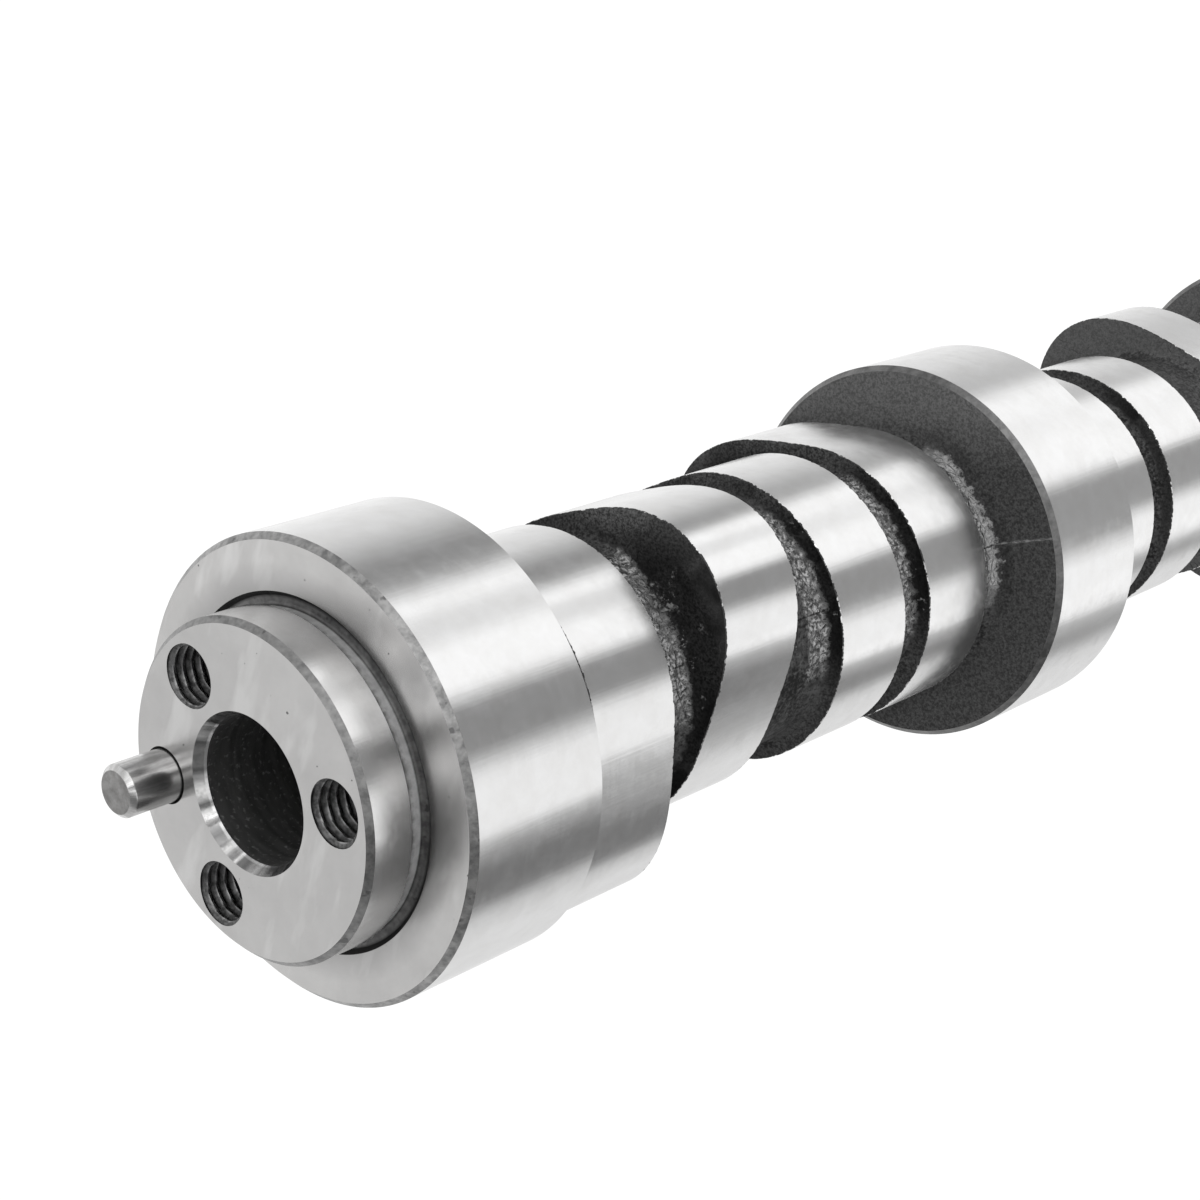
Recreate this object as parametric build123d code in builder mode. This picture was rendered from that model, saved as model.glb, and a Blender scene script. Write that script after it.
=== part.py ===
from build123d import *
from math import cos, radians, sin, tan
import os

# A pushrod V8 camshaft with a three-bolt nose: one turned and ground casting, and the dowel
# pin pressed into its nose. All lengths are millimetres.
#
# The shaft stands on its rear end face: the axis is +Z, z = 0 is the rear end and the nose
# points up. Angles are counter-clockwise seen from the nose, and the dowel lies on +X.

os.makedirs("parts", exist_ok=True)

# Engine layout, which sets where the journals and lobes sit
bay_pitch = 111.76  # spacing of the cylinder pairs, 4.400 in
bay_count = 4
bay_to_journal = 56.5  # from the middle of a bay to the journal behind it
first_bay_to_journal = 57.0  # from the middle of the front bay to the front journal

# Engine timing, in crank degrees, which sets the lobe angles
firing_order = (1, 8, 7, 2, 6, 5, 4, 3)
firing_step = 90.0
intake_centreline = 112.0  # after top dead centre
exhaust_centreline = 116.0  # before top dead centre
odd_bank_angle = 45.0  # lifters of cylinders 1, 3, 5 and 7, from the horizontal
even_bank_angle = 135.0
dowel_clock = 175.2  # the dowel's angle at top dead centre of cylinder 1

# Journals
journal_r = 27.5
journal_width = 20.4
journal_chamfer = 0.75

# Core between the journals and lobes
core_relief = 2.4  # how far it lies below the lobes' base circle
core_fillet = 1.5

# Cam lobes
lobe_width = 13.8
inner_lobe_offset = 13.75  # from the middle of a bay to its two inner lobes
outer_lobe_offset = 33.1  # and to its two outer lobes
base_circle_r = 19.7
lobe_lift = 6.8
lobe_half_angle = 77.0  # from the lobe's peak to its base circle
lobe_fullness = 4.1  # a higher value gives a slimmer peak
lobe_flank_points = 12  # spline points on each flank

# Nose, which carries the timing gear
nose_r = 19.9
nose_length = 7.6
nose_chamfer = 0.7
undercut_reach = 1.1  # outwards from the nose, to its mouth in the journal's face
undercut_depth = 0.6  # below the nose
undercut_face_depth = 0.5  # below the journal's face
undercut_length = 1.75  # along the nose, above the journal's face
undercut_slope = 0.55  # of its two slanted sides
undercut_fillet = 0.45

# Bore through the shaft, with a centre cone at each end
bore_r = 8.6
bore_chamfer = 0.8  # how much wider its mouth is, on the radius
bore_cone_angle = 60.0

# Tapped holes for the gear's bolts, drilled at tap size for M8 x 1.25
bolt_count = 3
bolt_circle_r = 14.55
bolt_start_angle = 61.0  # from the dowel to the next hole
bolt_hole_r = 3.4
bolt_hole_chamfer = 0.35  # how much wider its mouth is, on the radius
bolt_hole_depth = 22.0
bolt_cone_angle = 90.0
drill_point_angle = 118.0

# Dowel pin, which clocks the gear to the shaft
dowel_r = 3.175
dowel_circle_r = 14.65
dowel_stand_out = 6.85
dowel_seat_depth = 9.0
dowel_chamfer = 0.6
dowel_tail_chamfer = 0.3
dowel_clearance = 0.005  # on the radius
dowel_mouth_chamfer = 0.25  # how much wider its seat's mouth is, on the radius
dowel_cone_angle = 90.0

# Heights along the axis, built up from the rear end
last_journal_z = journal_width / 2
last_bay_z = last_journal_z + bay_to_journal
bay_zs = [last_bay_z + (bay_count - 1 - bay) * bay_pitch for bay in range(bay_count)]
journal_zs = [bay_zs[0] + first_bay_to_journal] + [z - bay_to_journal for z in bay_zs]
front_face_z = journal_zs[0] + journal_width / 2
nose_z = front_face_z + nose_length

# Radii that follow from their neighbours
core_r = base_circle_r - core_relief
undercut_mouth_r = nose_r + undercut_reach
undercut_floor_r = nose_r - undercut_depth
bore_mouth_r = bore_r + bore_chamfer
bolt_hole_mouth_r = bolt_hole_r + bolt_hole_chamfer
dowel_mouth_r = dowel_r + dowel_mouth_chamfer


def lobe_angle(cylinder, is_intake):
    """The direction of a lobe's peak from the dowel, when the engine is timed."""
    bank_angle = odd_bank_angle if cylinder % 2 else even_bank_angle
    fires_at = firing_order.index(cylinder) * firing_step
    centreline = intake_centreline if is_intake else -exhaust_centreline
    cam_turn = (fires_at + 360.0 + centreline) / 2
    return bank_angle + cam_turn - dowel_clock


def lobe_point(angle):
    """A point of the lobe's outline, at an angle from its peak."""
    share = angle / lobe_half_angle
    radius = base_circle_r + lobe_lift * (1 - share**2) ** lobe_fullness
    return (radius * cos(radians(angle)), radius * sin(radians(angle)))


def lobes_of_bay(bay):
    """The four lobes of a bay from front to back: distance from its middle, and angle."""
    odd_cylinder = 2 * bay + 1
    even_cylinder = odd_cylinder + 1
    return (
        (outer_lobe_offset, lobe_angle(odd_cylinder, is_intake=True)),
        (inner_lobe_offset, lobe_angle(even_cylinder, is_intake=False)),
        (-inner_lobe_offset, lobe_angle(odd_cylinder, is_intake=False)),
        (-outer_lobe_offset, lobe_angle(even_cylinder, is_intake=True)),
    )


flank_step = lobe_half_angle / lobe_flank_points
flank_angles = [flank_step * step for step in range(-lobe_flank_points, lobe_flank_points + 1)]
flank_tangents = [
    (sin(radians(lobe_half_angle)), cos(radians(lobe_half_angle))),
    (-sin(radians(lobe_half_angle)), cos(radians(lobe_half_angle))),
]

with BuildPart() as camshaft:
    # The core runs from the rear end to the front journal
    with BuildSketch(Plane.XY):
        Circle(core_r)
    extrude(amount=front_face_z)

    # Five journals, with their edges chamfered
    for journal_z in journal_zs:
        with BuildSketch(Plane.XY.offset(journal_z - journal_width / 2)):
            Circle(journal_r)
        extrude(amount=journal_width)
    journal_edges = camshaft.edges().filter_by(GeomType.CIRCLE)
    chamfer(journal_edges.filter_by(lambda edge: edge.radius > journal_r - 0.001), journal_chamfer)

    # Sixteen lobes: a base circle, closed by a smooth rise and fall about the peak
    for bay, bay_z in enumerate(bay_zs):
        for offset, angle in lobes_of_bay(bay):
            lobe_plane = Plane.XY.offset(bay_z + offset - lobe_width / 2).rotated((0, 0, angle))
            with BuildSketch(lobe_plane):
                with BuildLine():
                    Spline([lobe_point(a) for a in flank_angles], tangents=flank_tangents)
                    CenterArc((0, 0), base_circle_r, lobe_half_angle, 360 - 2 * lobe_half_angle)
                make_face()
            extrude(amount=lobe_width)

    # Cast fillets where the core meets the journals and lobes
    core_edges = camshaft.edges().filter_by(GeomType.CIRCLE)
    fillet(core_edges.filter_by(lambda edge: edge.radius < core_r + 0.001), core_fillet)

    # The nose, and the grinding undercut at its root
    with BuildSketch(Plane.XY.offset(front_face_z)):
        Circle(nose_r)
    extrude(amount=nose_length)
    chamfer(camshaft.faces().sort_by(Axis.Z)[-1].edges(), nose_chamfer)
    with BuildSketch(Plane.XZ):
        with BuildLine():
            Polyline(
                (nose_r, front_face_z + undercut_length),
                (undercut_floor_r, front_face_z + undercut_length - undercut_slope),
                (undercut_floor_r, front_face_z - undercut_face_depth),
                (undercut_mouth_r - undercut_slope, front_face_z - undercut_face_depth),
                (undercut_mouth_r, front_face_z),
                (undercut_mouth_r, front_face_z + undercut_length),
                close=True,
            )
        make_face()
        root_corner = vertices().sort_by(Axis.Z)[:2].sort_by(Axis.X)[0]
        fillet(root_corner, undercut_fillet)
    revolve(axis=Axis.Z, mode=Mode.SUBTRACT)

    # The bore runs right through, and a centre cone opens it at each end
    with Locations(Plane.XY.offset(nose_z)):
        CounterSinkHole(bore_r, bore_mouth_r, counter_sink_angle=bore_cone_angle)
    with Locations(Plane.XY.rotated((180, 0, 0))):
        CounterSinkHole(bore_r, bore_mouth_r, counter_sink_angle=bore_cone_angle)

    # Blind holes for the bolts, each with the cone that the drill leaves
    with Locations(Plane.XY.offset(nose_z)):
        with PolarLocations(bolt_circle_r, bolt_count, bolt_start_angle):
            CounterSinkHole(bolt_hole_r, bolt_hole_mouth_r, bolt_hole_depth, bolt_cone_angle)
    drill_point = bolt_hole_r / tan(radians(drill_point_angle / 2))
    with Locations(Plane.XY.offset(nose_z - bolt_hole_depth)):
        with PolarLocations(bolt_circle_r, bolt_count, bolt_start_angle):
            hanging = (Align.CENTER, Align.CENTER, Align.MAX)
            Cone(0, bolt_hole_r, drill_point, align=hanging, mode=Mode.SUBTRACT)

    # The dowel's seat
    with Locations(Plane.XY.offset(nose_z)):
        with Locations((dowel_circle_r, 0)):
            CounterSinkHole(dowel_r, dowel_mouth_r, dowel_seat_depth, dowel_cone_angle)

camshaft.part.label = "camshaft"
export_step(camshaft.part, "parts/camshaft.step")

with BuildPart() as dowel_pin:
    with BuildSketch(Plane.XY.offset(nose_z - dowel_seat_depth)):
        with Locations((dowel_circle_r, 0)):
            Circle(dowel_r - dowel_clearance)
    extrude(amount=dowel_seat_depth + dowel_stand_out)
    chamfer(dowel_pin.faces().sort_by(Axis.Z)[-1].edges(), dowel_chamfer)
    chamfer(dowel_pin.faces().sort_by(Axis.Z)[0].edges(), dowel_tail_chamfer)

dowel_pin.part.label = "dowel_pin"
export_step(dowel_pin.part, "parts/dowel_pin.step")
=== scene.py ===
# %% [markdown]
# # A camshaft, dressed in Blender
#
# The real object is one steel casting: a nose that carries the timing gear, five bearing
# journals, sixteen cam lobes and the core that joins them. A ground dowel pin is pressed into
# the nose. Journals and lobes are ground bright, the nose is turned, and what the tools never
# touched keeps the dark, grainy skin of the casting.
#
# The shaft stands on its rear end: its axis is +Z and the dowel lies on +X. All lengths are
# metres, and angles are counter-clockwise seen from the nose.

# %% Load the frame
from collections import namedtuple
from math import atan2, cos, degrees, hypot, pi, radians, sin, tan
from types import SimpleNamespace

import bmesh
import bpy
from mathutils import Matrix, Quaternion, Vector, noise


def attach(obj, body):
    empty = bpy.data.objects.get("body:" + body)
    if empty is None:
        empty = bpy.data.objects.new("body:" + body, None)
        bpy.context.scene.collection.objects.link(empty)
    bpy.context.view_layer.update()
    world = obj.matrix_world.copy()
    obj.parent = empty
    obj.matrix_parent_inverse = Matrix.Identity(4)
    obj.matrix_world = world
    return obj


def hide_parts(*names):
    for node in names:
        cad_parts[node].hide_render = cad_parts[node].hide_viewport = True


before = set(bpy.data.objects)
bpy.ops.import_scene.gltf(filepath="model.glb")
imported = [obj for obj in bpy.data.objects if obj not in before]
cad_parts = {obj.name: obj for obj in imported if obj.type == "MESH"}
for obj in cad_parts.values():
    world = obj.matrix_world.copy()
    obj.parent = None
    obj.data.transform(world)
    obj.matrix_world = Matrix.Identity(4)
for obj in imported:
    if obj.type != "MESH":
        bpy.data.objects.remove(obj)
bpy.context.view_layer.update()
mm = 0.001
print("nodes in the frame:", sorted(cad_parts))

# %% [markdown]
# ## Layout of the shaft
#
# A pushrod V8 camshaft repeats one bay four times. A bay serves two cylinders with four
# lobes, and a journal closes it. We could type in twenty-one heights, but they all follow
# from the spacing of the cylinders, the widths, and the firing order, which turns each lobe.
# So they are worked out, and all of them follow a change of one size.

# %% Sizes of the journals and lobes
bay_pitch = 111.76 * mm
bay_count = 4
bay_to_journal = 56.5 * mm
first_bay_to_journal = 57.0 * mm

journal_r = 27.5 * mm
journal_width = 20.4 * mm
journal_chamfer = 0.75 * mm

base_circle_r = 19.7 * mm
lobe_lift = 6.8 * mm
lobe_half_angle = 77.0
lobe_fullness = 4.1
lobe_width = 13.8 * mm
lobe_offsets = (33.1 * mm, 13.75 * mm, -13.75 * mm, -33.1 * mm)
lobe_edge = 0.12 * mm  # the small break that grinding leaves along a lobe's edges

core_relief = 2.4 * mm  # how far the core lies below the lobes' base circle
core_r = base_circle_r - core_relief
core_fillet = 1.5 * mm

nose_r = 19.9 * mm
nose_length = 7.6 * mm
nose_chamfer = 0.7 * mm

# %% Heights along the axis
last_journal_z = journal_width / 2
last_bay_z = last_journal_z + bay_to_journal
bay_zs = [last_bay_z + (bay_count - 1 - bay) * bay_pitch for bay in range(bay_count)]
journal_zs = [bay_zs[0] + first_bay_to_journal] + [z - bay_to_journal for z in bay_zs]
front_face_z = journal_zs[0] + journal_width / 2
nose_z = front_face_z + nose_length
print("journals at", [round(z / mm, 2) for z in journal_zs], "mm")

# %% Angles of the lobes
firing_order = (1, 8, 7, 2, 6, 5, 4, 3)
firing_step = 90.0  # crank degrees from one cylinder to the next
intake_centreline = 112.0
exhaust_centreline = 116.0
odd_bank_angle = 45.0
even_bank_angle = 135.0
dowel_clock = 175.2  # the dowel's angle when cylinder 1 is at its top


def lobe_angle(cylinder, is_intake):
    """The direction of a lobe's peak from the dowel, when the engine is timed."""
    bank_angle = odd_bank_angle if cylinder % 2 else even_bank_angle
    fires_at = firing_order.index(cylinder) * firing_step
    centreline = intake_centreline if is_intake else -exhaust_centreline
    return bank_angle + (fires_at + 360.0 + centreline) / 2 - dowel_clock


def lobe_rise(angle):
    """How far a lobe stands above its base circle, at an angle from its peak."""
    turned = (angle + 180.0) % 360.0 - 180.0
    share = min(abs(turned) / lobe_half_angle, 1.0)
    return lobe_lift * (1 - share**2) ** lobe_fullness


lobes = []
for bay, bay_z in enumerate(bay_zs):
    odd, even = 2 * bay + 1, 2 * bay + 2
    peaks = (
        lobe_angle(odd, is_intake=True),
        lobe_angle(even, is_intake=False),
        lobe_angle(odd, is_intake=False),
        lobe_angle(even, is_intake=True),
    )
    lobes += [(bay_z + offset, peak) for offset, peak in zip(lobe_offsets, peaks)]
print(len(lobes), "lobes, the first one peaks at", round(lobes[0][1] % 360, 1), "degrees")

# %% [markdown]
# ## The skin's profile
#
# The outside of the shaft could be extruded disc by disc, and joined with booleans. But a
# lathe made most of it, so we do the same: one profile, from the rear end up to the nose, is
# spun about the axis. Each point of the profile is a station. It knows its finish up to the
# next station, how much of a lobe's rise it follows, and how rough the casting is there.

# %% Stations
Station = namedtuple("Station", "radius height finish peak rise rough")
finishes = ("ground", "turned", "dull", "cast", "reamed", "bore", "thread")
stations = []


def add_station(radius, height, finish, peak=0.0, rise=0.0, rough=0.0):
    """Put one more point on the skin's profile."""
    stations.append(Station(radius, height, finish, peak, rise, rough))


side_roughness = 0.05 * mm
core_roughness = 0.30 * mm
edge_roughness = 0.035 * mm


# %% Journals and lobes as features
Feature = namedtuple("Feature", "low high edge_r rise peak kind")
features = []
for z in journal_zs:
    low, high = z - journal_width / 2, z + journal_width / 2
    features.append(Feature(low, high, journal_r - journal_chamfer, 0.0, 0.0, "journal"))
for z, peak in lobes:
    low, high = z - lobe_width / 2, z + lobe_width / 2
    features.append(Feature(low, high, base_circle_r - lobe_edge, 1.0, peak, "lobe"))
features.sort(key=lambda feature: feature.low)


def add_feature(feature):
    """The ground rim of a journal or lobe, between its two broken edges."""
    edge = journal_chamfer if feature.kind == "journal" else lobe_edge
    edge_finish = "dull" if feature.kind == "journal" else "ground"
    rim_r = feature.edge_r + edge
    ragged = edge_roughness if feature.kind == "lobe" else 0.0
    add_station(feature.edge_r, feature.low, edge_finish, feature.peak, feature.rise, ragged)
    add_station(rim_r, feature.low + edge, "ground", feature.peak, feature.rise)
    add_station(rim_r, feature.high - edge, edge_finish, feature.peak, feature.rise)
    add_station(feature.edge_r, feature.high, "cast", feature.peak, feature.rise, ragged)


# %% Cast gaps between them
in_view_z = journal_zs[2]  # gaps above this height get the finest grain


def add_side(feature, height, steps, inwards):
    """The cast side of a feature, in a few rings between its edge and the core's fillet."""
    shares = [step / (steps + 1) for step in range(1, steps + 1)]
    for share in shares if inwards else reversed(shares):
        radius = feature.edge_r + (core_r + core_fillet - feature.edge_r) * share
        rise = feature.rise * (1 - share)
        add_station(radius, height, "cast", feature.peak, rise, side_roughness)


def add_fillet(height, steps, upwards):
    """A quarter circle between a side and the core, which lies below or above it."""
    turns = [step / steps * pi / 2 for step in range(steps + 1)]
    for turn in turns if upwards else reversed(turns):
        radius = core_r + core_fillet * (1 - sin(turn))
        offset = core_fillet * (1 - cos(turn))
        height_here = height + offset if upwards else height - offset
        add_station(radius, height_here, "cast", rough=side_roughness * (1 + 2 * turn))


def add_gap(lower, upper):
    """From the top edge of one feature, down to the core, and up to the next feature."""
    fine = lower.high > in_view_z
    side_steps, fillet_steps, grain = (2, 3, 0.5 * mm) if fine else (1, 2, 1.0 * mm)
    add_side(lower, lower.high, side_steps, inwards=True)
    add_fillet(lower.high, fillet_steps, upwards=True)
    bottom, top = lower.high + core_fillet, upper.low - core_fillet
    rings = max(1, round((top - bottom) / grain))
    for ring in range(1, rings):
        height = bottom + (top - bottom) * ring / rings
        add_station(core_r, height, "cast", rough=core_roughness)
    add_fillet(upper.low, fillet_steps, upwards=False)
    add_side(upper, upper.low, side_steps, inwards=False)


for lower, upper in zip(features, features[1:]):
    add_feature(lower)
    add_gap(lower, upper)
add_feature(features[-1])
print(len(stations), "stations from the rear end to the front journal")

# %% [markdown]
# ## The nose's profile
#
# The timing gear sits against the nose's face. Behind it a thrust plate runs on the nose, so
# its root has a grinding undercut: a small groove that lets the wheel run out past the
# corner. A painted ring would look flat there, so it has its real shape.

# %% Nose and undercut stations
undercut_reach = 1.1 * mm  # outwards from the nose
undercut_depth = 0.6 * mm  # below the nose
undercut_face_depth = 0.5 * mm  # below the journal's face
undercut_length = 1.75 * mm  # along the nose
undercut_slope = 0.55 * mm
undercut_fillet = 0.45 * mm
undercut_steps = 4

undercut_mouth_r = nose_r + undercut_reach
undercut_floor_r = nose_r - undercut_depth
undercut_floor_z = front_face_z - undercut_face_depth
undercut_top_z = front_face_z + undercut_length

stations[-1] = stations[-1]._replace(finish="turned")
add_station(undercut_mouth_r, front_face_z, "dull")
add_station(undercut_mouth_r - undercut_slope, undercut_floor_z, "dull")
for step in range(undercut_steps + 1):
    turn = step / undercut_steps * pi / 2
    radius = undercut_floor_r + undercut_fillet * (1 - sin(turn))
    add_station(radius, undercut_floor_z + undercut_fillet * (1 - cos(turn)), "dull")
add_station(undercut_floor_r, undercut_top_z - undercut_slope, "dull")
add_station(nose_r, undercut_top_z, "ground")
add_station(nose_r, nose_z - nose_chamfer, "dull")
add_station(nose_r - nose_chamfer, nose_z, "turned")
print(len(stations), "stations in all")

# %% [markdown]
# ## Spinning the profile
#
# One bmesh spin could make the whole skin, but each of its steps walks through all that the
# mesh holds already, which is slow. We spin a narrow wedge instead, spin copies of it round
# the axis, and merge their borders. Each vertex keeps the number of its station in a layer
# of the mesh, which the spin copies. With it we can push the lobes out afterwards: a vertex
# moves away from the axis by the lobe's rise at its own angle. The real lobe is ground in
# that way too, by a wheel that rides in and out as the shaft turns.

# %% Spin helper
skin_segments = 192
skin_wedges = 16
merge_distance = 0.0005 * mm


def spin_profile(bm, points, centre, wedges, wedge_steps, first_number=0):
    """Spin (radius, height) points about an upright axis, and number their vertices."""
    layer = bm.verts.layers.int.get("station") or bm.verts.layers.int.new("station")
    known = set(bm.verts)
    column = []
    for number, (radius, height) in enumerate(points, first_number):
        vertex = bm.verts.new((centre[0] + radius, centre[1], height))
        vertex[layer] = number
        column.append(vertex)
    edges = [bm.edges.new(pair) for pair in zip(column, column[1:])]
    about = {"cent": (centre[0], centre[1], 0.0), "axis": (0, 0, 1), "dvec": (0, 0, 0)}
    wedge_angle = 2 * pi / wedges
    bmesh.ops.spin(bm, geom=column + edges, angle=wedge_angle, steps=wedge_steps, **about)
    verts = [vertex for vertex in bm.verts if vertex not in known]
    faces = {face for vertex in verts for face in vertex.link_faces}
    sides = {edge for face in faces for edge in face.edges}
    bmesh.ops.spin(
        bm, geom=verts + list(sides) + list(faces), angle=2 * pi - wedge_angle,
        steps=wedges - 1, use_duplicate=True, **about,
    )
    verts = [vertex for vertex in bm.verts if vertex not in known]
    bmesh.ops.remove_doubles(bm, verts=verts, dist=merge_distance)
    return [vertex for vertex in bm.verts if vertex not in known]


shaft_mesh = bmesh.new()
across_layer = shaft_mesh.verts.layers.float.new("across")
foot_layer = shaft_mesh.verts.layers.float.new("foot")
thread_layer = shaft_mesh.verts.layers.float.new("groove")
skin_points = [(station.radius, station.height) for station in stations]
skin = spin_profile(
    shaft_mesh, skin_points, (0.0, 0.0), skin_wedges, skin_segments // skin_wedges
)
station_layer = shaft_mesh.verts.layers.int["station"]
print(len(skin), "vertices in the skin")

# %% Push the lobes out
lobe_zs = [z for z, peak in lobes]
side_zs = [height for feature in features for height in (feature.low, feature.high)]


def nearest(height, others):
    """How far a height lies above the nearest of some others."""
    return min((height - other for other in others), key=abs)


across = [nearest(item.height, lobe_zs) if item.rise == 1.0 else 0.0 for item in stations]
foot = [abs(nearest(item.height, side_zs)) for item in stations]
for vertex in skin:
    station = stations[vertex[station_layer]]
    vertex[across_layer] = across[vertex[station_layer]]
    vertex[foot_layer] = foot[vertex[station_layer]]
    if station.rise:
        angle = degrees(atan2(vertex.co.y, vertex.co.x))
        radius = hypot(vertex.co.x, vertex.co.y)
        pushed = (radius + station.rise * lobe_rise(angle - station.peak)) / radius
        vertex.co.x *= pushed
        vertex.co.y *= pushed

# %% [markdown]
# ## The casting's skin
#
# Sand leaves a casting wavy and grainy, and the crumbly core most of all. Under a bump map
# its outline would stay a perfect circle, so the cast stations are moved along their normals
# by noise: slow waves for the sand mould, and a finer grain.

# %% Roughen the cast stations
wave_scale = 1 / (6.0 * mm)
grain_scale = 1 / (1.1 * mm)


def casting_noise(place):
    """A number of about -1 to 1 that waves slowly and crumbles finely."""
    wave = noise.noise(place * wave_scale)
    grain = noise.turbulence(place * grain_scale, 3, True)
    return 0.55 * wave + 0.75 * (grain - 0.45)


shaft_mesh.normal_update()
moves = {}
for vertex in skin:
    rough = stations[vertex[station_layer]].rough
    if rough:
        moves[vertex] = vertex.normal * (rough * casting_noise(vertex.co))
for vertex, move in moves.items():
    vertex.co += move
print(len(moves), "cast vertices moved")

# %% [markdown]
# ## The bore and the holes
#
# A bore with a centre cone at each end runs through the shaft. Three bolt holes are tapped
# M8, and the pin has a seat. Each is a small spin about its own axis. A thread isn't a stack
# of rings but a helix, so we spin a plain wall and push each vertex out where the groove
# passes it, by its depth and its angle.

# %% Bore
bore_number = 1000  # stations are numbered from here on, which tells holes from skin
hole_number = 2000
seat_number = 3000

bore_r = 8.6 * mm
bore_chamfer = 0.8 * mm  # how much wider its mouth is, on the radius
bore_cone_angle = 60.0
bore_mouth_r = bore_r + bore_chamfer
bore_cone_depth = bore_chamfer / tan(radians(bore_cone_angle / 2))
bore_points = [
    (bore_mouth_r, nose_z),
    (bore_r, nose_z - bore_cone_depth),
    (bore_r, bore_cone_depth),
    (bore_mouth_r, 0.0),
]
bore = spin_profile(
    shaft_mesh, bore_points, (0.0, 0.0), wedges=12, wedge_steps=8, first_number=bore_number
)
print(len(bore), "vertices in the bore")

# %% Threaded holes
bolt_circle_r = 14.55 * mm
bolt_angles = (61.0, 181.0, 301.0)
thread_starts = (60.0, 90.0, 0.0)  # where each thread opens onto the nose's face
hole_r = 3.4 * mm
hole_chamfer = 0.35 * mm
hole_mouth_r = hole_r + hole_chamfer
hole_depth = 22.0 * mm
drill_point_angle = 118.0
thread_pitch = 1.25 * mm
thread_groove = 0.6 * mm  # how deep the groove is cut into the wall
thread_depth = 18.0 * mm  # how far down the hole is tapped
rings_per_turn = 8
crest_width = 1 / 4  # in pitches, as metric nuts have it
root_width = 1 / 8
groove_half = (1 - crest_width) / 2
flank_width = groove_half - root_width / 2

wall_rings = round(thread_depth / thread_pitch * rings_per_turn)
wall_depths = [thread_depth * ring / wall_rings for ring in range(wall_rings + 1)]
hole_points = [(hole_r, nose_z - depth) for depth in wall_depths]
hole_points.append((hole_r, nose_z - hole_depth))
drill_point = hole_r / tan(radians(drill_point_angle / 2))
hole_points.append((0.0, nose_z - hole_depth - drill_point))


def groove_share(depth, angle):
    """The share of the thread's groove that is cut at this depth and angle."""
    turn = (depth / thread_pitch + angle / (2 * pi) + 0.5) % 1.0
    cut = (groove_half - abs(turn - 0.5)) / flank_width
    run_out = (thread_depth - depth) / thread_pitch
    return max(0.0, min(cut, run_out, 1.0))


for bolt_angle, thread_start in zip(bolt_angles, thread_starts):
    turn = radians(bolt_angle)
    centre = (bolt_circle_r * cos(turn), bolt_circle_r * sin(turn))
    wall = spin_profile(
        shaft_mesh, hole_points, centre, wedges=8, wedge_steps=5, first_number=hole_number
    )
    for vertex in wall:
        outwards = Vector((vertex.co.x - centre[0], vertex.co.y - centre[1]))
        depth = nose_z - vertex.co.z
        if outwards.length < hole_r / 2 or depth > thread_depth:
            continue
        share = groove_share(depth, atan2(outwards.y, outwards.x) - radians(thread_start))
        radius = max(hole_r + thread_groove * share, hole_mouth_r - depth)
        vertex[thread_layer] = (radius - hole_r) / thread_groove
        vertex.co.x = centre[0] + outwards.x / outwards.length * radius
        vertex.co.y = centre[1] + outwards.y / outwards.length * radius
print(len(bolt_angles), "threaded holes,", wall_rings, "rings each")

# %% The pin's seat
pin_circle_r = 14.65 * mm
pin_r = 3.17 * mm
pin_clearance = 0.005 * mm
seat_r = pin_r + pin_clearance
seat_mouth = 0.25 * mm
seat_depth = 9.0 * mm
seat_points = [
    (seat_r + seat_mouth, nose_z),
    (seat_r, nose_z - seat_mouth),
    (seat_r, nose_z - seat_depth),
    (0.0, nose_z - seat_depth),
]
seat_centre = (pin_circle_r, 0.0)
seat = spin_profile(
    shaft_mesh, seat_points, seat_centre, wedges=8, wedge_steps=6, first_number=seat_number
)
for vertex in seat:
    vertex[thread_layer] = 1.0  # painted shade in the gap round the pin, as dark as the root of a thread
print(len(seat), "vertices in the pin's seat")

# %% [markdown]
# ## Closing the two ends
#
# The nose's face is flat with five round holes in it. Quads would be a puzzle there, and a
# flat face doesn't need them: triangle_fill takes all the open rings at that height and
# fills what lies between them. The rear end is closed in the same way.

# %% Fill the ends
same_height = 0.01 * mm


def fill_end(bm, height):
    """Close the flat end at a height, between its outer ring and its holes."""
    rim = [
        edge for edge in bm.edges
        if edge.is_boundary
        and all(abs(vertex.co.z - height) < same_height for vertex in edge.verts)
    ]
    filled = bmesh.ops.triangle_fill(bm, edges=rim, use_beauty=True, use_dissolve=False)
    return [item for item in filled["geom"] if isinstance(item, bmesh.types.BMFace)]


end_faces = fill_end(shaft_mesh, nose_z) + fill_end(shaft_mesh, 0.0)
bmesh.ops.recalc_face_normals(shaft_mesh, faces=list(shaft_mesh.faces))
open_edges = [edge for edge in shaft_mesh.edges if not edge.is_manifold]
print(len(end_faces), "faces close the ends, open edges left:", len(open_edges))

# %% Give each face its finish
end_set = set(end_faces)
cone_numbers = (bore_number, bore_number + 2)  # the cone at either end
for face in shaft_mesh.faces:
    numbers = [vertex[station_layer] for vertex in face.verts]
    low = min(numbers)
    if face in end_set:
        finish = "turned"
    elif low >= hole_number:
        finish = "thread"
    elif low >= bore_number:
        finish = "reamed" if low in cone_numbers else "bore"
    else:
        finish = stations[low].finish
    face.material_index = finishes.index(finish)
    face.smooth = True

crisp_angle = radians(24)
for edge in shaft_mesh.edges:
    edge.smooth = not edge.is_manifold or edge.calc_face_angle() < crisp_angle


# %% Make the shaft's object


def add_object(name, data):
    """Put a mesh, camera or lamp into the scene."""
    added = bpy.data.objects.new(name, data)
    bpy.context.scene.collection.objects.link(added)
    return added


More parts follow.
